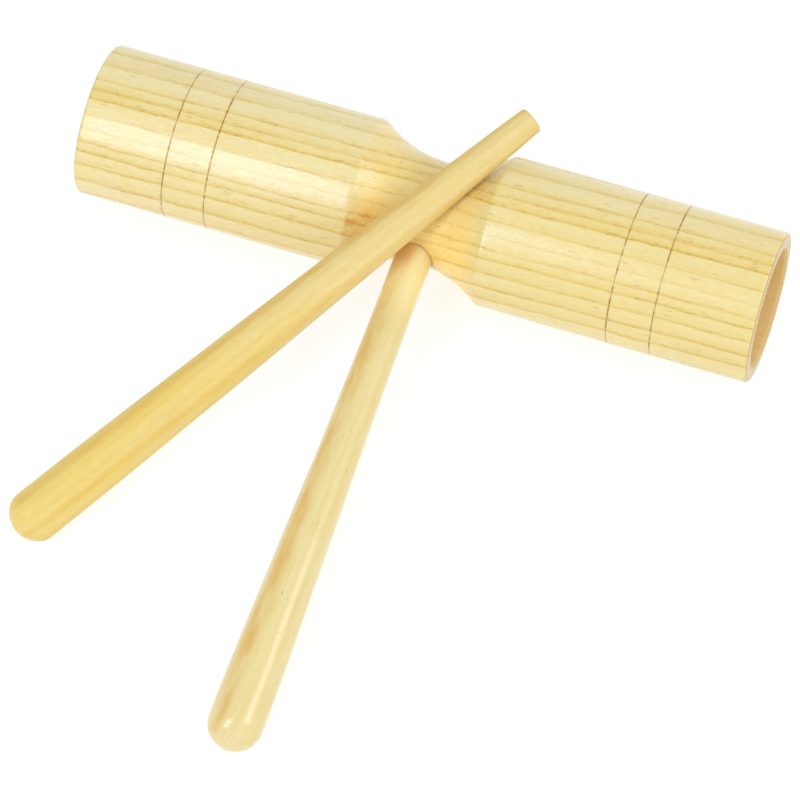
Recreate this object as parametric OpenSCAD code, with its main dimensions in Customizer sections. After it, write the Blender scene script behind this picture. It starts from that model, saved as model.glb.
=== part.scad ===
// Two-tone wood block: a turned block with a resonance bore in each end, a
// handle glued into its waist, and a loose beater resting across the waist.
// +X runs along the block's axis, the handle points towards -Y, +Z is up. The
// origin is on the table, under the middle of the whole object's outline.

/* [Block] */
// Length of the turned block
block_len = 200; // [198:1:230]
// Diameter of the two barrels
barrel_d = 43.8; // [42:0.1:48]
// Diameter at the narrowest place of the waist
waist_d = 30; // [26:0.5:34]
// Length of the cove that forms the waist
waist_len = 39; // [34:1:44]
// Rounding of the block's outer end edges
end_round = 1; // [0.5:0.1:1.5]

/* [Bores] */
// Diameter of the resonance bore in each end
bore_d = 34; // [30:0.5:35]
// Depth of the bore in the low-tone end, towards -X
low_bore_depth = 74; // [50:1:75]
// Depth of the bore in the high-tone end, towards +X
high_bore_depth = 62; // [40:1:75]
// Rounding of the bore's mouth
mouth_round = 0.8; // [0.4:0.1:1.5]
// Rounding at the bottom of the bore
bottom_round = 3; // [1:0.5:6]

/* [Ring grooves] */
// Distances of the two grooves from the low-tone end
low_grooves = [26.6, 39.3]; // [10:0.1:60]
// Distances of the two grooves from the high-tone end
high_grooves = [28.4, 41.2]; // [10:0.1:60]
// Width of a burnt ring groove, and twice its depth
groove_w = 0.6; // [0.3:0.1:1.2]

/* [Handle] */
// Distance from the block's axis to the end of the handle
handle_reach = 174; // [150:1:200]
// Diameter of the handle near its rounded end
handle_butt_d = 15.6; // [13:0.1:18]
// Diameter of the handle's root, and of its socket in the waist
socket_d = 10.7; // [8:0.1:12]
// How far the socket goes past the block's axis
socket_past_axis = 6; // [3:0.5:9]

/* [Beater] */
// Length of the beater
beater_len = 185; // [160:1:200]
// Diameter of the beater near its striking end
beater_butt_d = 15.4; // [13:0.1:16.4]
// Diameter of the beater's thin end
beater_tip_d = 8; // [6:0.1:10]
// Radius of the dome on the striking end
beater_dome_r = 8.2; // [8.2:0.1:12]
// Chamfer of the thin end
beater_chamfer = 0.5; // [0:0.1:1]

/* [Where the beater rests] */
// The striking end's place on the table, from the middle of the block
beater_foot = [-75.5, -123]; // [-140:0.1:-60]
// Direction of the beater, turned from +X
beater_yaw = 55.8; // [45:0.1:65]
// Room between the two axes beyond the radii, because the cove rises beside its middle
beater_seat = 0.5; // [0.4:0.05:1.5]

/* [Hidden] */

$fn = 96;
eps = 0.01;
barrel_r = barrel_d / 2;
waist_r = waist_d / 2;
bore_r = bore_d / 2;
socket_r = socket_d / 2;
block_mid = block_len / 2;

// The cove is one arc that meets both barrels at their full radius.
cove_rise = barrel_r - waist_r;
cove_r = (pow(waist_len / 2, 2) + pow(cove_rise, 2)) / (2 * cove_rise);

// How a stick thins: 1 keeps it full until near its end, 2.2 thins it sooner.
beater_curve = 1;
handle_curve = 2.2;

// The handle leans down from the block's axis until its round end meets the table.
handle_butt_r = handle_butt_d / 2;
handle_lean = asin((barrel_r - handle_butt_r) / (handle_reach - handle_butt_r));
handle_len = handle_reach + socket_past_axis;
// The tapered part of the handle ends just outside the waist's surface.
handle_taper_end = handle_reach - waist_r - 1;

// The beater touches the table with the edge of its striking end.
beater_butt_r = beater_butt_d / 2;
beater_cap = beater_dome_r - sqrt(pow(beater_dome_r, 2) - pow(beater_butt_r, 2));
crossing_t = -beater_foot[1] / sin(beater_yaw) / beater_len;
crossing_r = taper(beater_butt_r, beater_tip_d / 2, crossing_t, beater_curve);
tangent_r = waist_r + crossing_r + beater_seat;
// The foot's height depends a little on the rise, and one repeat settles it.
beater_rise = rise(barrel_r - beater_butt_r * cos(rise(barrel_r - beater_butt_r)));
beater_foot_z = beater_butt_r * cos(beater_rise);

// The outline's reach behind and in front of the block's axis sets the origin.
handle_end_y = (handle_reach - handle_butt_r) * cos(handle_lean) + handle_butt_r;
beater_run = (beater_len - beater_cap) * cos(beater_rise);
beater_tip_y = beater_foot[1] + beater_run * sin(beater_yaw);
beater_back = beater_tip_y + (beater_tip_d / 2 - beater_chamfer)
    * sqrt(1 - pow(cos(beater_rise) * sin(beater_yaw), 2));
outline_back = max(barrel_r, beater_back);
block_y = (handle_end_y - outline_back) / 2;

// Radius of a tapered stick at a place t from 0, the thick end, to 1, the thin end.
function taper(thick_r, thin_r, t, curve) =
    thin_r + (thick_r - thin_r) * pow(1 - pow(t, 1.5), curve);

// Rise of the beater when its foot lies a given drop below the block's axis. Seen along
// the block, the beater's axis is a tangent to a circle round the block's axis.
function rise(drop) = atan(sin(beater_yaw) * tan(atan2(drop, -beater_foot[1])
    + asin(tangent_r / norm([beater_foot[1], drop]))));

// Stands its children where the block's middle is, lifted to the block's axis.
module at_block_middle(lift = barrel_r) {
    translate([0, block_y, lift]) children();
}

// Outline of a turned stick: its dome starts at 0, and it tapers from dome to thin end.
module stick_outline(thick_r, thin_r, dome_r, taper_end, curve, steps = 12) {
    cap = dome_r - sqrt(pow(dome_r, 2) - pow(thick_r, 2));
    side = [for (i = [0:steps]) let (t = i / steps)
        [taper(thick_r, thin_r, t, curve), cap + (taper_end - cap) * t]];
    polygon(concat([[0, cap]], side, [[0, taper_end]]));
    intersection() {
        translate([0, dome_r]) circle(r = dome_r);
        square([thick_r, cap + eps]);
    }
}

// One quarter of a square corner that a rounding of radius r takes away.
module corner_cut(r) {
    difference() {
        translate([-r, -r]) square(r + 1);
        translate([-r, -r]) circle(r = r);
    }
}

// A bore's half section from its mouth at 0 down to its rounded bottom.
module bore_outline(depth) {
    square([bore_r - bottom_round, depth]);
    square([bore_r, depth - bottom_round]);
    translate([bore_r - bottom_round, depth - bottom_round]) circle(r = bottom_round);
    difference() {
        translate([0, -1]) square([bore_r + mouth_round, 1 + mouth_round]);
        translate([bore_r + mouth_round, mouth_round]) circle(r = mouth_round);
    }
}

// The half section of everything that is turned away at one end of the block.
module end_cuts(depth, grooves) {
    bore_outline(depth);
    translate([barrel_r, 0]) mirror([0, 1]) corner_cut(end_round);
    for (place = grooves) translate([barrel_r, place]) circle(d = groove_w);
}

// The turned block, with the socket drilled for the handle.
module tone_block() {
    color([0.93, 0.83, 0.60]) at_block_middle() difference() {
        rotate([0, 90, 0]) rotate_extrude() difference() {
            translate([0, -block_mid]) square([barrel_r, block_len]);
            translate([waist_r + cove_r, 0]) circle(r = cove_r);
            translate([0, -block_mid]) end_cuts(low_bore_depth, low_grooves);
            mirror([0, 1]) translate([0, -block_mid]) end_cuts(high_bore_depth, high_grooves);
        }
        along_handle() translate([0, 0, -socket_past_axis])
            cylinder(r = socket_r, h = socket_past_axis + barrel_r);
    }
}

// Turns +Z to run from the block's axis out along the handle.
module along_handle() {
    rotate([90 + handle_lean, 0, 0]) children();
}

// The tapered handle, with its straight root glued into the block's socket.
module handle() {
    color([0.95, 0.86, 0.64]) at_block_middle() along_handle()
        translate([0, 0, handle_reach]) mirror([0, 0, 1]) rotate_extrude() {
            stick_outline(handle_butt_r, socket_r, handle_butt_r, handle_taper_end,
                handle_curve);
            translate([0, handle_taper_end - eps])
                square([socket_r, handle_len - handle_taper_end + eps]);
        }
}

// The loose beater, its striking end on the table and its shaft across the waist.
module beater() {
    color([0.92, 0.78, 0.48]) at_block_middle(0)
        translate([beater_foot[0], beater_foot[1], beater_foot_z])
            rotate([0, 90 - beater_rise, beater_yaw])
                translate([0, 0, -beater_cap]) rotate_extrude() difference() {
                    stick_outline(beater_butt_r, beater_tip_d / 2, beater_dome_r, beater_len,
                        beater_curve);
                    translate([beater_tip_d / 2, beater_len]) rotate(45)
                        square(beater_chamfer * sqrt(2), center = true);
                }
}

tone_block();
handle();
beater();
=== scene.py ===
import math
import bpy
import numpy as np
from mathutils import Matrix, Vector


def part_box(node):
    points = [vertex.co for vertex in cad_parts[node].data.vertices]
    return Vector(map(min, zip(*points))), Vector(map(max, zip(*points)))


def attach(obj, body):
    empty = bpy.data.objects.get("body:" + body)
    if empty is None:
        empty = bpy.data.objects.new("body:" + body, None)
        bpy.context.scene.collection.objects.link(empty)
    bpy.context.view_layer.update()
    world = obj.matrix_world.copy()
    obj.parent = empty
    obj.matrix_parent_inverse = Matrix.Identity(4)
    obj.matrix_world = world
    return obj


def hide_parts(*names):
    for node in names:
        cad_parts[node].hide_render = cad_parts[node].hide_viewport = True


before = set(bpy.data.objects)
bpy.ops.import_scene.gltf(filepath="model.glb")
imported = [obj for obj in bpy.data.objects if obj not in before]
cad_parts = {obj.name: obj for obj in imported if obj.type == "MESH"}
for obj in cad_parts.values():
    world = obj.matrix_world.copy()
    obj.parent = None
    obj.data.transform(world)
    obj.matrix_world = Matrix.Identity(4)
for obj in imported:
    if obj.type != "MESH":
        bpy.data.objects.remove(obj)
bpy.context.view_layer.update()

MM = 0.001


# ---------------------------------------------------------------------------
# Camera
# A long lens well above the table. The block runs down to the right, and the
# handle and the beater come towards the viewer.

block_low, block_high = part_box("tone_block")
block_middle = (block_low + block_high) / 2

CAMERA_TURN = math.radians(18.79)
CAMERA_RISE = math.radians(58.38)
CAMERA_DISTANCE = 1.6255
CAMERA_SIDE = -8.8 * MM
CAMERA_DROP = -53.2 * MM
LENS = 258.2

back = Vector((math.sin(CAMERA_TURN) * math.cos(CAMERA_RISE),
               -math.cos(CAMERA_TURN) * math.cos(CAMERA_RISE),
               math.sin(CAMERA_RISE)))
right = Vector((math.cos(CAMERA_TURN), math.sin(CAMERA_TURN), 0.0))
up = back.cross(right)
stand = block_middle + right * CAMERA_SIDE + up * CAMERA_DROP + back * CAMERA_DISTANCE

camera_data = bpy.data.cameras.new("camera")
camera_data.sensor_width = 36.0
camera_data.lens = LENS
camera_data.clip_end = 20.0
camera = bpy.data.objects.new("camera", camera_data)
camera.matrix_world = Matrix.Translation(stand) @ Matrix((right, up, back)).transposed().to_4x4()
bpy.context.scene.collection.objects.link(camera)
bpy.context.scene.camera = camera
bpy.context.scene.view_settings.view_transform = "Standard"


# ---------------------------------------------------------------------------
# Tone block
# One billet of pale ash, turned to two barrels and a coved waist and bored from
# both ends. Four rings are burnt in with a taut wire, and the outside is
# lacquered. The handle's socket is drilled into the waist.

BARREL_R = (block_high.z - block_low.z) / 2
HALF_LEN = (block_high.x - block_low.x) / 2
WAIST_R = 15.0 * MM
COVE_HALF = 19.5 * MM
ARRIS = 0.22 * MM
END_ROUND = 1.0 * MM
BORE_R = 17.0 * MM
LOW_BORE_DEPTH = 74.0 * MM
HIGH_BORE_DEPTH = 62.0 * MM
MOUTH_ROUND = 0.8 * MM
BOTTOM_ROUND = 3.0 * MM
RING_PLACES = np.array([-HALF_LEN + 26.6 * MM, -HALF_LEN + 39.3 * MM,
                        HALF_LEN - 41.2 * MM, HALF_LEN - 28.4 * MM])
RING_HALF = 0.20 * MM
RING_DEPTH = 0.07 * MM
SANDED_WAVE = 0.012 * MM


def soft_min(first, second, softness):
    """The smaller of two arrays, less a rounding where they cross: the smaller one minus
    softness times the log of 1 + e to the power of minus their difference over softness."""
    gap = np.abs(first - second) / softness
    return np.minimum(first, second) - softness * np.log1p(np.exp(-gap))


def arc(middle, radius, start, end, steps):
    """Points round a middle in the (along, out) plane, from one angle to another, in degrees."""
    angle = np.radians(np.linspace(start, end, steps))
    return np.column_stack([middle[0] + radius * np.cos(angle),
                            middle[1] + radius * np.sin(angle)])


def straight(start, end, steps):
    """Evenly spaced points from start to end in the (along, out) plane."""
    return np.linspace(start, end, steps)


ASIDE = (0.6, 0.0, 0.8)  # lies along none of the three turning axes
BLOCK_STEPS = 232
STICK_STEPS = 96
CREASE = math.radians(40)


def turned(name, outline, origin, axis, steps, sag=0.0):
    """A piece turned about an axis. Its point is origin + along x axis + out x spoke(t) for
    each (along, out) of the outline and each t round the circle. The outline runs from the
    axis back to the axis, and one vertex closes each pole. The sag takes off an uneven
    sliver, at most that deep, as sanding by hand does."""
    axis = np.array(axis, float)
    side = np.cross(axis, ASIDE)
    side = side / np.linalg.norm(side)
    turn = np.linspace(0.0, 2 * np.pi, steps, endpoint=False)
    spoke = np.cos(turn)[:, None] * side + np.sin(turn)[:, None] * np.cross(axis, side)
    along = outline[1:-1, 0, None]
    out = outline[1:-1, 1, None]
    uneven = 2 + np.sin(along / (17 * MM) + turn) + np.sin(along / (7.3 * MM) - 2 * turn)
    out = out - sag * uneven / 4 * np.minimum(out / (4 * MM), 1.0)
    rings = np.array(origin) + along[..., None] * axis + out[..., None] * spoke
    poles = np.array(origin) + outline[[0, -1], :1] * axis
    count = len(outline) - 2
    here = np.arange(steps)
    beside = np.roll(here, -1)
    row = np.arange(count - 1)[:, None] * steps
    last = (count - 1) * steps
    quads = np.stack([row + here, row + steps + here, row + steps + beside, row + beside], -1)
    first_fan = np.column_stack([here, beside, np.full(steps, count * steps)])
    last_fan = np.column_stack([last + beside, last + here, np.full(steps, count * steps + 1)])
    mesh = bpy.data.meshes.new(name)
    mesh.from_pydata(np.vstack([rings.reshape(-1, 3), poles]).tolist(), [],
                     quads.reshape(-1, 4).tolist() + first_fan.tolist() + last_fan.tolist())
    mesh.polygons.foreach_set("use_smooth", np.ones(len(mesh.polygons), bool))
    mesh.update()
    piece = bpy.data.objects.new(name, mesh)
    bpy.context.scene.collection.objects.link(piece)
    return piece


def barrel_outside(along):
    """Radius of the outside: the barrels' radius or the cove's circle, whichever is smaller,
    less a notch of e to the power of -|d|^3 at each burnt ring, less a faint sanded wave."""
    rise = BARREL_R - WAIST_R
    cove_r = (COVE_HALF ** 2 + rise ** 2) / (2 * rise)
    cove = WAIST_R + cove_r - np.sqrt(cove_r ** 2 - np.minimum(np.abs(along), cove_r) ** 2)
    notch = np.exp(-(np.abs(along[:, None] - RING_PLACES) / RING_HALF) ** 3).sum(axis=1)
    wave = 2 + np.sin(along / (11 * MM)) + np.sin(along / (4.3 * MM) + 1.7)
    return (soft_min(np.full_like(along, BARREL_R), cove, ARRIS)
            - RING_DEPTH * notch - SANDED_WAVE * wave)


def bored_end(depth):
    """Outline of the +X end, from the middle of the bore's bottom round its mouth and rim
    to the barrel's end edge."""
    bottom = HALF_LEN - depth
    return np.vstack([
        straight((bottom, 0.0), (bottom, BORE_R - BOTTOM_ROUND), 22),
        arc((bottom + BOTTOM_ROUND, BORE_R - BOTTOM_ROUND), BOTTOM_ROUND, 180, 90, 10)[1:],
        straight((bottom + BOTTOM_ROUND, BORE_R), (HALF_LEN - MOUTH_ROUND, BORE_R), 30)[1:],
        arc((HALF_LEN - MOUTH_ROUND, BORE_R + MOUTH_ROUND), MOUTH_ROUND, -90, 0, 7)[1:],
        straight((HALF_LEN, BORE_R + MOUTH_ROUND), (HALF_LEN, BARREL_R - END_ROUND), 6)[1:],
        arc((HALF_LEN - END_ROUND, BARREL_R - END_ROUND), END_ROUND, 0, 90, 8)[1:-1]])


places = np.unique(np.concatenate([
    np.linspace(END_ROUND - HALF_LEN, HALF_LEN - END_ROUND, 96),
    np.linspace(-COVE_HALF, COVE_HALF, 84),
    *[edge + np.linspace(-1.2, 1.2, 13) * MM for edge in (-COVE_HALF, COVE_HALF)],
    *[place + np.linspace(-0.5, 0.5, 13) * MM for place in RING_PLACES]]).round(7))
outside = np.column_stack([places, barrel_outside(places)])
block_outline = np.vstack([bored_end(LOW_BORE_DEPTH) * (-1, 1), outside,
                           bored_end(HIGH_BORE_DEPTH)[::-1]])
block = turned("turned_block", block_outline, block_middle, (1, 0, 0), BLOCK_STEPS)


def stick_lie(node):
    """How a turned stick of the frame lies: the tip of its thick end, the direction towards
    its thin end, its length and its greatest radius. The axis is the direction in which the
    middles of its faces spread most, counted by their areas."""
    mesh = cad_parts[node].data
    middles = np.empty(len(mesh.polygons) * 3)
    areas = np.empty(len(mesh.polygons))
    corners = np.empty(len(mesh.vertices) * 3)
    mesh.polygons.foreach_get("center", middles)
    mesh.polygons.foreach_get("area", areas)
    mesh.vertices.foreach_get("co", corners)
    middles = middles.reshape(-1, 3)
    centre = np.average(middles, axis=0, weights=areas)
    spread = (middles - centre) * np.sqrt(areas)[:, None]
    axis = np.linalg.svd(spread, full_matrices=False)[2][0]
    offset = corners.reshape(-1, 3) - centre
    along = offset @ axis
    out = np.linalg.norm(offset - along[:, None] * axis, axis=1)
    if along[out.argmax()] > 0:
        axis = -axis
        along = -along
    return Vector(centre + axis * along.min()), Vector(axis), np.ptp(along), out.max()


handle_tip, handle_axis, handle_len, handle_r = stick_lie("handle")


class Value:
    """A shader socket that can stand in a sum. Each operator adds its Math node. node() adds
    any other node: its type, its settings, the values or links of its sockets."""

    def __init__(self, tree, socket):
        self.tree = tree
        self.socket = socket

    def node(self, kind, settings=None, inputs=None, out=0):
        made = self.tree.nodes.new(kind)
        for name, setting in (settings or {}).items():
            if name == "stops":
                ramp = made.color_ramp
                ramp.interpolation = "CONSTANT"
                for number, (place, colour) in enumerate(setting):
                    stop = ramp.elements[number] if number < 2 else ramp.elements.new(place)
                    stop.position = place
                    stop.color = colour
            else:
                setattr(made, name, setting)
        for name, value in (inputs or {}).items():
            if isinstance(value, Value):
                self.tree.links.new(value.socket, made.inputs[name])
            else:
                made.inputs[name].default_value = value
        return Value(self.tree, made.outputs[out])

    def math(self, operation, *terms):
        return self.node("ShaderNodeMath", {"operation": operation}, dict(enumerate(terms)))

    def __add__(self, other):
        return self.math("ADD", self, other)

    def __radd__(self, other):
        return self.math("ADD", other, self)

    def __sub__(self, other):
        return self.math("SUBTRACT", self, other)

    def __rsub__(self, other):
        return self.math("SUBTRACT", other, self)

    def __mul__(self, other):
        return self.math("MULTIPLY", self, other)

    def __rmul__(self, other):
        return self.math("MULTIPLY", other, self)

    def __truediv__(self, other):
        return self.math("DIVIDE", self, other)


def paint(red, green, blue):
    """A colour as mixed on a screen, from 0 to 255, turned into the shader's linear numbers."""
    share = np.array([red, green, blue]) / 255
    linear = np.where(share > 0.04045, ((share + 0.055) / 1.055) ** 2.4, share / 12.92)
    return (*linear.tolist(), 1.0)


def fade(value, start, end):
    """A mask that is 0 at start and 1 at end, with a smooth S between them."""
    return value.node("ShaderNodeMapRange", {"interpolation_type": "SMOOTHSTEP"},
                      {"Value": value, "From Min": start, "From Max": end})


MIX_SHARE, MIX_FIRST, MIX_SECOND, MIX_COLOUR = 0, 6, 7, 2  # a colour Mix node's sockets


def mix(share, first, second):
    """A colour between two, by the share of the second."""
    return share.node("ShaderNodeMix", {"data_type": "RGBA"},
                      {MIX_SHARE: share, MIX_FIRST: first, MIX_SECOND: second}, out=MIX_COLOUR)


def cloud(x, y, z, detail=2.0):
    """Cloudy noise about 0, mostly between -1 and 1, one lump per unit of its coordinates."""
    place = x.node("ShaderNodeCombineXYZ", None, {0: x, 1: y, 2: z})
    noise = x.node("ShaderNodeTexNoise", None, {"Vector": place, "Scale": 1.0, "Detail": detail})
    return (noise - 0.5) * 3.5


def dashes(x, y, z, share):
    """Little closed lens shapes scattered one to a unit cell, in that share of the cells."""
    place = x.node("ShaderNodeCombineXYZ", None, {0: x, 1: y, 2: z})
    cells = {"Vector": place, "Scale": 1.0}
    near = x.node("ShaderNodeTexVoronoi", None, cells)
    pick = x.node("ShaderNodeTexVoronoi", None, cells, out=1)
    chance = x.node("ShaderNodeSeparateColor", None, {0: pick})
    return fade(near, 0.34, 0.16) * fade(chance, share + 0.05, share - 0.05)


class Grain:
    """Where a point lies in its wood, in millimetres: along the grain from a middle, deep
    across the yearly rings, and wide along them. Depth wanders slowly and bends with the
    rings, whose pith is far off. since is the depth since the year's first wood, dark is
    how strong the pores of that year are, and rich is how deep its honey colour is."""

    def __init__(self, begin, middle, grain, across, years, pith, wander):
        grain = Vector(grain).normalized()
        across = (Vector(across) - grain * grain.dot(Vector(across))).normalized()
        self.along = self.measure(begin, middle, grain)
        self.wide = self.measure(begin, middle, grain.cross(across))
        flat = self.measure(begin, middle, across)
        self.deep = (flat + self.wide * self.wide / (2 * pith)
                     + cloud(self.along / 60, self.wide / 25, flat / 12) * wander
                     + cloud(self.along / 11, self.wide / 6, flat / 4) * wander * 0.55)
        reach = years[-1][0] - years[0][0]
        places = [((start - years[0][0]) / reach, dark, rich) for start, dark, rich in years[:-1]]
        stops = [(place, (place, dark, rich, 1)) for place, dark, rich in places]
        year = begin.node("ShaderNodeValToRGB", {"stops": stops},
                          {0: (self.deep - years[0][0]) / reach})
        start = begin.node("ShaderNodeSeparateColor", None, {0: year}) * reach + years[0][0]
        self.dark = begin.node("ShaderNodeSeparateColor", None, {0: year}, out=1)
        self.rich = begin.node("ShaderNodeSeparateColor", None, {0: year}, out=2)
        self.since = self.deep - start

    def measure(self, begin, middle, way):
        """Distance from middle along a direction, in millimetres."""
        dot = begin.node("ShaderNodeVectorMath", {"operation": "DOT_PRODUCT"},
                         {0: begin, 1: way / MM}, out=1)
        return dot - middle.dot(way) / MM

    def off_line(self, begin, point, way):
        """Distance from the line through a point along a direction, in millimetres."""
        arm = begin.node("ShaderNodeVectorMath", {"operation": "MULTIPLY_ADD"},
                         {0: begin, 1: (1 / MM, 1 / MM, 1 / MM), 2: -Vector(point) / MM})
        cross = begin.node("ShaderNodeVectorMath", {"operation": "CROSS_PRODUCT"},
                           {0: arm, 1: way})
        return begin.node("ShaderNodeVectorMath", {"operation": "LENGTH"}, {0: cross}, out=1)

    def noise(self, length, width, detail=2.0):
        """Streaks drawn out along the grain."""
        return cloud(self.along / length, self.deep / width, self.wide / width, detail)


def start_material(name):
    """A new material's Principled shader and its Object coordinates."""
    material = bpy.data.materials.new(name)
    material.use_nodes = True
    shader = material.node_tree.nodes["Principled BSDF"]
    begin = Value(material.node_tree, None)
    return material, shader, begin.node("ShaderNodeTexCoord", out=3)


def finish_material(piece, material, shader, colour, roughness, coat, relief, relief_depth):
    """Links what changes over the surface to the shader, and gives the piece its material."""
    bump = relief.node("ShaderNodeBump", None, {"Strength": 1.0, "Distance": relief_depth,
                                                "Height": relief})
    tree = material.node_tree
    tree.links.new(colour.socket, shader.inputs["Base Color"])
    tree.links.new(roughness.socket, shader.inputs["Roughness"])
    tree.links.new(coat.socket, shader.inputs["Coat Weight"])
    tree.links.new(bump.socket, shader.inputs["Normal"])
    piece.data.materials.clear()
    piece.data.materials.append(material)


SAPWOOD = paint(228, 209, 144)
PALE_WOOD = paint(231, 218, 166)
HONEY = paint(221, 190, 88)
OPEN_WOOD = paint(203, 165, 50)
PORE = paint(160, 120, 18)
AMBER = paint(255, 216, 112)
# Painted shade: the brown-orange of the shade where the beater and the handle meet the waist.
PAINTED_SHADE_BROWN = paint(214, 138, 40)
BURNT = paint(150, 98, 6)
RAW_WOOD = paint(236, 200, 134)
END_GRAIN_AND_SHADE = paint(182, 150, 80)
BLOCK_RELIEF = 0.038 * MM
AMBER_FROM, AMBER_FULL = 20.5, 14.0  # millimetres from the block's middle
FAR_SIDE, NEAR_SIDE = 172, 168  # millimetres up the handle's axis, at the waist

# Where each year of the billet begins, from its middle, and how strong its open pores are.
BLOCK_YEARS = [(-28.0, 0.5, 0.4), (-23.5, 0.6, 0.5), (-20.3, 0.8, 0.6), (-16.9, 1.0, 0.5),
               (-12.7, 0.85, 0.4), (-8.9, 1.0, 0.3), (-6.2, 0.7, 0.3), (-2.2, 0.35, 0.2),
               (2.0, 0.6, 0.4), (6.9, 1.0, 0.8), (9.4, 0.7, 0.7), (12.1, 0.8, 0.3),
               (16.6, 0.55, 0.2), (20.2, 0.6, 0.3), (24.0, 0.5, 0.3), (28.0, 0.5, 0.3)]
BLOCK_GRAIN = (1.0, 0.0153, 0.0085)
BLOCK_ACROSS = (0.0, 0.873, 0.487)

material, shader, begin = start_material("lacquered_ash")
wood = Grain(begin, block_middle, BLOCK_GRAIN, BLOCK_ACROSS, BLOCK_YEARS,
             pith=150.0, wander=0.45)
strength = fade(wood.noise(11, 1.8), -0.8, 0.8)
open_band = fade(wood.since, 1.2, 0.35) * fade(wood.since, -0.05, 0.22)
open_band = open_band * wood.dark * (0.3 + 0.7 * strength)
late_band = fade(wood.since, 5.0, 0.0) * wood.rich * (0.3 + 0.7 * fade(wood.noise(22, 3), -1, 1))
halo = fade(wood.since, 3.2, 0.4) * fade(wood.since, -0.5, 0.1) * wood.dark
pores = dashes(wood.along / 2.8, wood.deep / 0.5, wood.wide / 0.5, 0.8)
pores = pores * fade(wood.since, 1.5, 0.6) * (0.35 + 0.65 * strength) * wood.dark
stray = dashes(wood.along / 5.0, wood.deep / 0.8, wood.wide / 0.8, 0.09)
fibre = wood.noise(7, 0.5, 3.0)
streak = wood.noise(14, 0.6)
mottle = wood.noise(2.2, 0.8, 3.0)
blotch = wood.noise(4.5, 1.8)
tone = wood.noise(70, 11)

place = wood.measure(begin, block_middle, Vector((1, 0, 0)))
# Painted sheen: the back and top of the barrels are painted paler, for the white surround's
# reflection there. Besides that the tone wanders at random, and the colour is a little darker along
# the right barrel.
pale_and_painted_sheen = tone + blotch * 0.8 + fade(wood.deep, 8, 15) * 1.2 - fade(place, 10, 40)
colour = mix(fade(pale_and_painted_sheen, -1.4, 1.6), SAPWOOD, PALE_WOOD)
colour = mix(late_band * 0.75, colour, HONEY)
colour = mix(halo * 0.3, colour, HONEY)
colour = mix(fade(streak, 0.1, 1.3) * 0.4, colour, HONEY)
colour = mix(fade(mottle, -0.1, 1.1) * 0.4, colour, HONEY)
colour = mix(fade(mottle, 0.1, -1.1) * 0.4, colour, PALE_WOOD)
from_mid = place.math("ABSOLUTE", place)
# The cove is tinted amber, more on its lower side where the beater lies: partly the cove's own
# colour, partly a painted glow of light thrown back from the beater.
cove = fade(from_mid, AMBER_FROM, AMBER_FULL)
colour = mix(cove * (0.2 + 0.4 * fade(wood.deep, 9, -9) + 0.15 * blotch), colour, AMBER)
colour = mix(open_band * 0.75, colour, OPEN_WOOD)
colour = mix(pores * 0.8, colour, PORE)
colour = mix(stray * 0.35, colour, PORE)

from_axis = begin.node("ShaderNodeVectorMath", {"operation": "MULTIPLY_ADD"},
                       {0: begin, 1: (0, 1 / MM, 1 / MM),
                        2: -Vector((0, block_middle.y, block_middle.z)) / MM})
out = begin.node("ShaderNodeVectorMath", {"operation": "LENGTH"}, {0: from_axis}, out=1)
inside = fade(out, BORE_R / MM + 0.6, BORE_R / MM + 0.3) * fade(from_mid, 24, 25)
colour = mix(inside * 0.75, colour, RAW_WOOD)
# The end faces are painted darker: partly the end grain's own darker colour, partly painted shade.
colour = mix(fade(from_mid, HALF_LEN / MM - 0.5, HALF_LEN / MM - 0.1) * 0.85, colour, END_GRAIN_AND_SHADE)
# Painted shade on the lower left flank of the cove, under the beater.
cove_painted_shade = fade(place, -20.5, -18.5) * fade(place, -6.0, -13.0) * fade(wood.deep, 0.0, -8.0)
colour = mix(cove_painted_shade * fade(wood.noise(7, 1.6), -0.6, 1.0) * 0.7, colour, PAINTED_SHADE_BROWN)
root = wood.off_line(begin, handle_tip, handle_axis)
near_side = fade(wood.measure(begin, handle_tip, handle_axis), FAR_SIDE, NEAR_SIDE)
# Painted shade round the handle's root, on the near side of the waist.
colour = mix(fade(root, 10.0, 5.5) * near_side * 0.2, colour, PAINTED_SHADE_BROWN)
colour = mix(fade(root, 6.1, 5.7) * near_side * fade(out, 14.0, 14.6) * 0.45, colour, BURNT)
unevenness = cloud(place / 3, wood.deep / 1.7, wood.wide / 1.7)
burnt = inside * 0
scorch = inside * 0
for ring in RING_PLACES / MM:
    off = place.math("ABSOLUTE", place - float(ring))
    burnt = burnt.math("MAXIMUM", burnt, fade(off, 0.27, 0.12))
    scorch = scorch.math("MAXIMUM", scorch, fade(off, 0.8, 0.2))
on_barrel = fade(out, 20.0, 20.5)
colour = mix(scorch * on_barrel * fade(unevenness, -0.6, 1.4) * 0.4, colour, OPEN_WOOD)
colour = mix(burnt * on_barrel * (0.25 + 0.75 * fade(unevenness, -0.9, 0.9)), colour, BURNT)

turning = cloud(place / 0.5, wood.deep / 7, wood.wide / 7, 3.0)
relief = fibre * 0.3 + mottle * 0.3 + blotch + turning * 0.12 - pores * 0.3 - stray * 0.2
roughness = 0.27 + 0.05 * fibre + 0.05 * blotch + inside * 0.4
coat = (1 - inside) * (0.12 + 0.06 * tone)
shader.inputs["Subsurface Weight"].default_value = 0.12
shader.inputs["Subsurface Radius"].default_value = (1.0, 0.45, 0.12)
shader.inputs["Subsurface Scale"].default_value = 1.0 * MM
shader.inputs["Coat Roughness"].default_value = 0.1
shader.inputs["IOR"].default_value = 1.5
finish_material(block, material, shader, colour, roughness, coat, relief, BLOCK_RELIEF)

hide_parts("tone_block")
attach(block, "block")


# ---------------------------------------------------------------------------
# Handle
# A tapered ash stick with a round butt, turned and lacquered. Its straight root
# is glued into the waist, where a hairline of glue shows round it.

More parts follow.
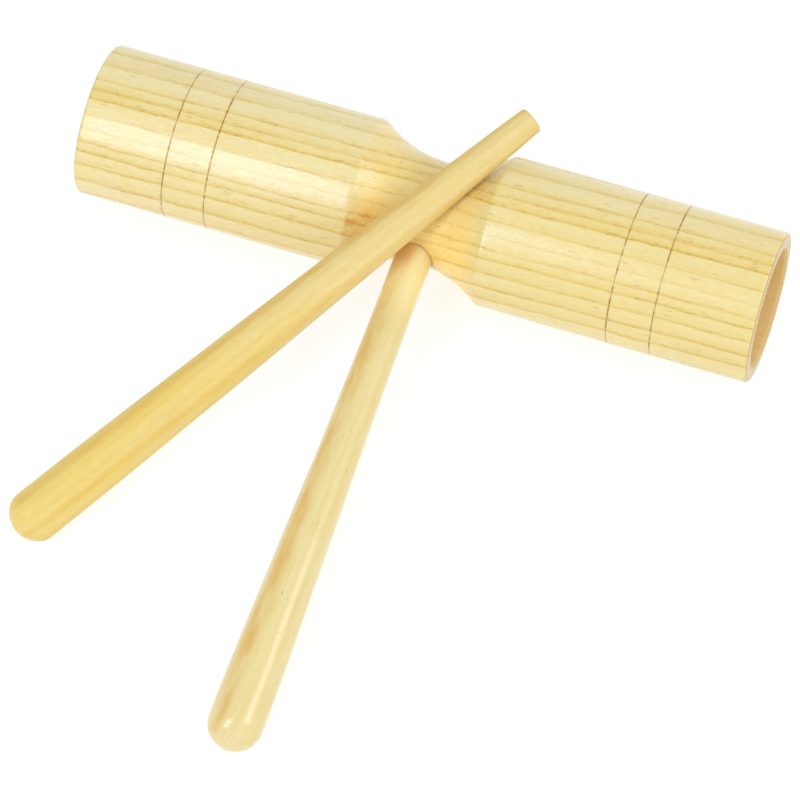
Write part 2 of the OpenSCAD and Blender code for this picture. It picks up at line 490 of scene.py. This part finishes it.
SOCKET_R = 5.35 * MM
SOCKET_SLACK = 0.12 * MM
ROOT_LEN = 22.0 * MM
HANDLE_CURVE = 2.2
HAND_SANDED = 0.10 * MM
HANDLE_INSET = 0.02 * MM
ROOT_BEVEL = 0.5 * MM
DRILL_REACH = 27.0 * MM
DRILL_CLEAR = 0.05 * MM


def stick_outline(thick, thin, dome, taper_end, curve, softness, steps):
    """A stick's outline from the tip of its dome to taper_end. Its radius is the smaller of
    the dome's circle and the taper, thin + (thick - thin) (1 - t^1.5)^curve, where t runs
    from 0 where the dome is as wide as the stick to 1 at taper_end."""
    cap = dome - math.sqrt(max(dome ** 2 - thick ** 2, 0.0))
    near = cap * 1.8 * (1 - np.cos(np.linspace(0, np.pi / 2, 30)))
    along = np.concatenate([near, np.linspace(near[-1], taper_end, steps)[1:]])
    share = np.clip((along - cap) / (taper_end - cap), 0.0, 1.0)
    taper = thin + (thick - thin) * (1 - share ** 1.5) ** curve
    ball = np.sqrt(np.maximum(dome ** 2 - (dome - np.minimum(along, dome)) ** 2, 0.0))
    ball = np.where(along < dome, ball, dome + (along - dome))
    outline = np.column_stack([along, np.maximum(soft_min(ball, taper, softness), 0.0)])
    outline[0, 1] = 0.0
    return outline


def cut_away(piece, cutter):
    """Takes the cutter's solid out of a piece, and removes the cutter."""
    cut = piece.modifiers.new("cut", "BOOLEAN")
    cut.operation = "DIFFERENCE"
    cut.solver = "EXACT"
    cut.object = cutter
    shaped = piece.evaluated_get(bpy.context.evaluated_depsgraph_get())
    mesh = bpy.data.meshes.new_from_object(shaped)
    piece.modifiers.clear()
    piece.data = mesh
    bpy.data.objects.remove(cutter)
    mesh.set_sharp_from_angle(angle=CREASE)


outline = stick_outline(handle_r, SOCKET_R, handle_r, handle_len - ROOT_LEN, HANDLE_CURVE,
                        0.05 * MM, 90)
outline = np.vstack([outline, straight((handle_len - ROOT_LEN, SOCKET_R),
                                       (handle_len - ROOT_BEVEL, SOCKET_R), 12)[1:],
                     straight((handle_len, SOCKET_R - ROOT_BEVEL), (handle_len, 0.0), 5)])
handle_start = handle_tip + handle_axis * HANDLE_INSET
handle = turned("handle_stick", outline, handle_start, handle_axis, STICK_STEPS,
                HAND_SANDED)

drill_from = handle_len - DRILL_REACH
drill_to = handle_len + DRILL_CLEAR
drill_r = SOCKET_R + SOCKET_SLACK
drill = turned("drill", np.array([(drill_from, 0.0), (drill_from, drill_r),
                                  (drill_to, drill_r), (drill_to, 0.0)]),
               handle_tip, handle_axis, STICK_STEPS)
cut_away(block, drill)

HANDLE_YEARS = [(-10.0, 0.3, 0.3), (-6.6, 0.4, 0.3), (-3.9, 0.6, 0.2), (-0.6, 0.5, 0.1),
                (0.4, 0.8, 1.0), (8.2, 0.5, 0.4), (11.0, 0.5, 0.4)]
HANDLE_SAP = paint(220, 202, 136)
HANDLE_PALE = paint(225, 210, 152)
HANDLE_HONEY = paint(213, 168, 80)
# Painted light for the handle's shaded root.
ROOT_PAINTED_LIGHT = paint(247, 228, 162)
HANDLE_RELIEF = 0.03 * MM
PAINTED_LIGHT_FROM, PAINTED_LIGHT_FULL = 132, 152  # millimetres up the handle from its tip
SHADE_FROM, SHADE_FULL = 149, 159

material, shader, begin = start_material("lacquered_handle_wood")
handle_middle = handle_tip + handle_axis * handle_len / 2
wood = Grain(begin, handle_middle, handle_axis + Vector((0.016, 0, 0)), (-0.98, 0.0, 0.18),
             HANDLE_YEARS, pith=60.0, wander=0.5)
strength = fade(wood.noise(10, 2.2), -0.8, 0.9)
late_band = fade(wood.since, 7.2, 3.6) * fade(wood.since, 0.0, 3.2) * wood.rich
open_band = fade(wood.since, 0.9, 0.2) * fade(wood.since, 0.0, 0.2) * wood.dark * strength
flecks = dashes(wood.along / 2.8, wood.deep / 0.6, wood.wide / 0.6, 0.35)
flecks = flecks * fade(wood.noise(12, 2.5), -0.2, 0.9)
fibre = wood.noise(9, 0.5, 3.0)
tone = wood.noise(40, 6)
colour = mix(fade(tone, -1.2, 1.2), HANDLE_SAP, HANDLE_PALE)
colour = mix(late_band * (0.2 + 0.7 * strength), colour, HANDLE_HONEY)
colour = mix(open_band * 0.3, colour, OPEN_WOOD)
colour = mix(fade(wood.noise(9, 0.9), 0.1, 1.3) * 0.4, colour, HONEY)
colour = mix(fade(wood.noise(2.2, 0.9, 3.0), 0.0, 1.1) * 0.35, colour, HONEY)
colour = mix(flecks * 0.65, colour, PORE)
from_tip = wood.measure(begin, handle_tip, handle_axis)
# Painted light: the handle is painted paler towards its root, to lift the shade that the block and
# the beater cast there.
colour = mix(fade(from_tip, PAINTED_LIGHT_FROM, PAINTED_LIGHT_FULL) * 0.7, colour, ROOT_PAINTED_LIGHT)
# Painted shade on the left side of the handle's root, next to the beater.
colour = mix(fade(from_tip, SHADE_FROM, SHADE_FULL) * fade(wood.deep, -1.0, 4.5) * 0.7, colour, PAINTED_SHADE_BROWN)
relief = fibre * 0.1 + wood.noise(9, 3.5) - flecks * 0.4
roughness = 0.27 + 0.04 * fibre
coat = 0.35 + 0.06 * tone
shader.inputs["Coat Roughness"].default_value = 0.12
shader.inputs["IOR"].default_value = 1.5
finish_material(handle, material, shader, colour, roughness, coat, relief, HANDLE_RELIEF)

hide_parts("handle")
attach(handle, "block")


# ---------------------------------------------------------------------------
# Beater
# A loose tapered stick of plainer, yellower wood, sanded and thinly lacquered to
# a matt finish. It strikes with its domed thick end, and its thin end is sawn square.

BEATER_TIP_R = 4.0 * MM
BEATER_DOME_R = 8.2 * MM
BEATER_CURVE = 1.0
CHAMFER = 0.5 * MM
TIP_START = 1.2 * MM
TIP_INSET = 0.03 * MM
EASE = 0.12 * MM
HALF_EASE = 0.06 * MM

beater_tip, beater_axis, beater_len, beater_r = stick_lie("beater")
outline = stick_outline(beater_r, BEATER_TIP_R, BEATER_DOME_R, beater_len, BEATER_CURVE,
                        0.22 * MM, 110)
outline = outline[outline[:, 0] < beater_len - TIP_START]
shoulder = outline[-1, 1] - TIP_INSET
outline = np.vstack([outline, (beater_len - CHAMFER - EASE, shoulder),
                     (beater_len - CHAMFER, shoulder - HALF_EASE),
                     (beater_len - HALF_EASE, shoulder - CHAMFER),
                     straight((beater_len, shoulder - CHAMFER - EASE),
                              (beater_len, 0.0), 6)])
beater = turned("beater_stick", outline, beater_tip, beater_axis, STICK_STEPS, HAND_SANDED)
beater.data.set_sharp_from_angle(angle=CREASE)

BEATER_YEARS = [(-10.0, 0.4, 0.4), (-5.4, 0.7, 0.7), (-2.2, 0.35, 0.3), (1.2, 0.4, 0.3),
                (3.1, 1.0, 1.0), (7.0, 0.4, 0.6), (10.0, 0.5, 0.5)]
BEATER_WOOD = paint(225, 198, 104)
BEATER_PALE = paint(224, 202, 136)
BEATER_HONEY = paint(215, 174, 76)
BEATER_RELIEF = 0.012 * MM

material, shader, begin = start_material("matt_beater_wood")
beater_middle = beater_tip + beater_axis * beater_len / 2
wood = Grain(begin, beater_middle, beater_axis + Vector((0.012, 0.0, 0.0)),
             (-0.80, 0.44, 0.395), BEATER_YEARS, pith=40.0, wander=0.7)
strength = fade(wood.noise(9, 1.9), -0.8, 0.9)
late_band = fade(wood.since, 4.2, 1.5) * fade(wood.since, 0.0, 1.9) * wood.rich
fibre = wood.noise(6, 0.42, 3.0)
flecks = dashes(wood.along / 2.2, wood.deep / 0.45, wood.wide / 0.45, 0.3)
tone = wood.noise(50, 6)
up_shaft = fade(wood.measure(begin, beater_tip, beater_axis), 20, 150)
colour = mix(fade(tone + up_shaft * 1.6, -0.6, 1.8), BEATER_WOOD, BEATER_PALE)
colour = mix(late_band * (0.45 + 0.5 * strength), colour, BEATER_HONEY)
colour = mix(fade(wood.noise(9, 1.1), 0.0, 1.3) * 0.45, colour, BEATER_HONEY)
colour = mix(fade(wood.noise(2.4, 1.0, 3.0), 0.0, 1.2) * 0.35, colour, BEATER_HONEY)
colour = mix(flecks * 0.14, colour, PORE)
relief = fibre * 0.6 - flecks
roughness = 0.52 + 0.05 * fibre
coat = 0.10 + 0.04 * tone
shader.inputs["Coat Roughness"].default_value = 0.3
shader.inputs["IOR"].default_value = 1.45
finish_material(beater, material, shader, colour, roughness, coat, relief, BEATER_RELIEF)

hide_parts("beater")
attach(beater, "beater")


# ---------------------------------------------------------------------------
# Table and light
# A plain white table under an even white surround. A tall cool softbox in front
# on the left lays the band along the block, and a wide one on the right lays the
# gleams on the handle and on the cove.

TABLE_HALF = 3.0
TABLE_GREY = 0.34
TABLE_GLOW = 0.72
SURROUND = 0.8
COOL = (0.74, 0.84, 1.10)

table_mesh = bpy.data.meshes.new("table")
table_mesh.from_pydata([(-TABLE_HALF, -TABLE_HALF, 0), (TABLE_HALF, -TABLE_HALF, 0),
                        (TABLE_HALF, TABLE_HALF, 0), (-TABLE_HALF, TABLE_HALF, 0)],
                       [], [(0, 1, 2, 3)])
floor = bpy.data.objects.new("table", table_mesh)
bpy.context.scene.collection.objects.link(floor)
material, shader, begin = start_material("white_table")
shader.inputs["Base Color"].default_value = (TABLE_GREY, TABLE_GREY, TABLE_GREY, 1.0)
shader.inputs["Roughness"].default_value = 0.8
shader.inputs["Emission Color"].default_value = (1.0, 1.0, 1.0, 1.0)
shader.inputs["Emission Strength"].default_value = TABLE_GLOW
table_mesh.materials.append(material)

world = bpy.data.worlds.new("surround")
world.use_nodes = True
world.node_tree.nodes["Background"].inputs["Color"].default_value = (1.0, 1.0, 1.0, 1.0)
world.node_tree.nodes["Background"].inputs["Strength"].default_value = SURROUND
bpy.context.scene.world = world


def softbox(name, spot, target, width, height, brightness, tint=(1.0, 1.0, 1.0)):
    """A rectangular light at a spot, turned to a target, with its width level. Its power is
    brightness x pi x area, so that its face has the given brightness, times its tint."""
    data = bpy.data.lights.new(name, "AREA")
    data.shape = "RECTANGLE"
    data.size = width
    data.size_y = height
    data.energy = brightness * math.pi * width * height
    data.color = tint
    lamp = bpy.data.objects.new(name, data)
    lamp.matrix_world = (Matrix.Translation(spot)
                         @ (Vector(target) - Vector(spot)).to_track_quat("-Z", "Y")
                         .to_matrix().to_4x4())
    lamp.visible_camera = False
    bpy.context.scene.collection.objects.link(lamp)


softbox("front_softbox", block_middle + Vector((-0.25, -0.56, 0.54)), block_middle,
        width=0.17, height=0.54, brightness=8.2, tint=COOL)
softbox("side_softbox", block_middle + Vector((0.68, 0.0, 0.52)), block_middle,
        width=0.50, height=0.36, brightness=3.5)
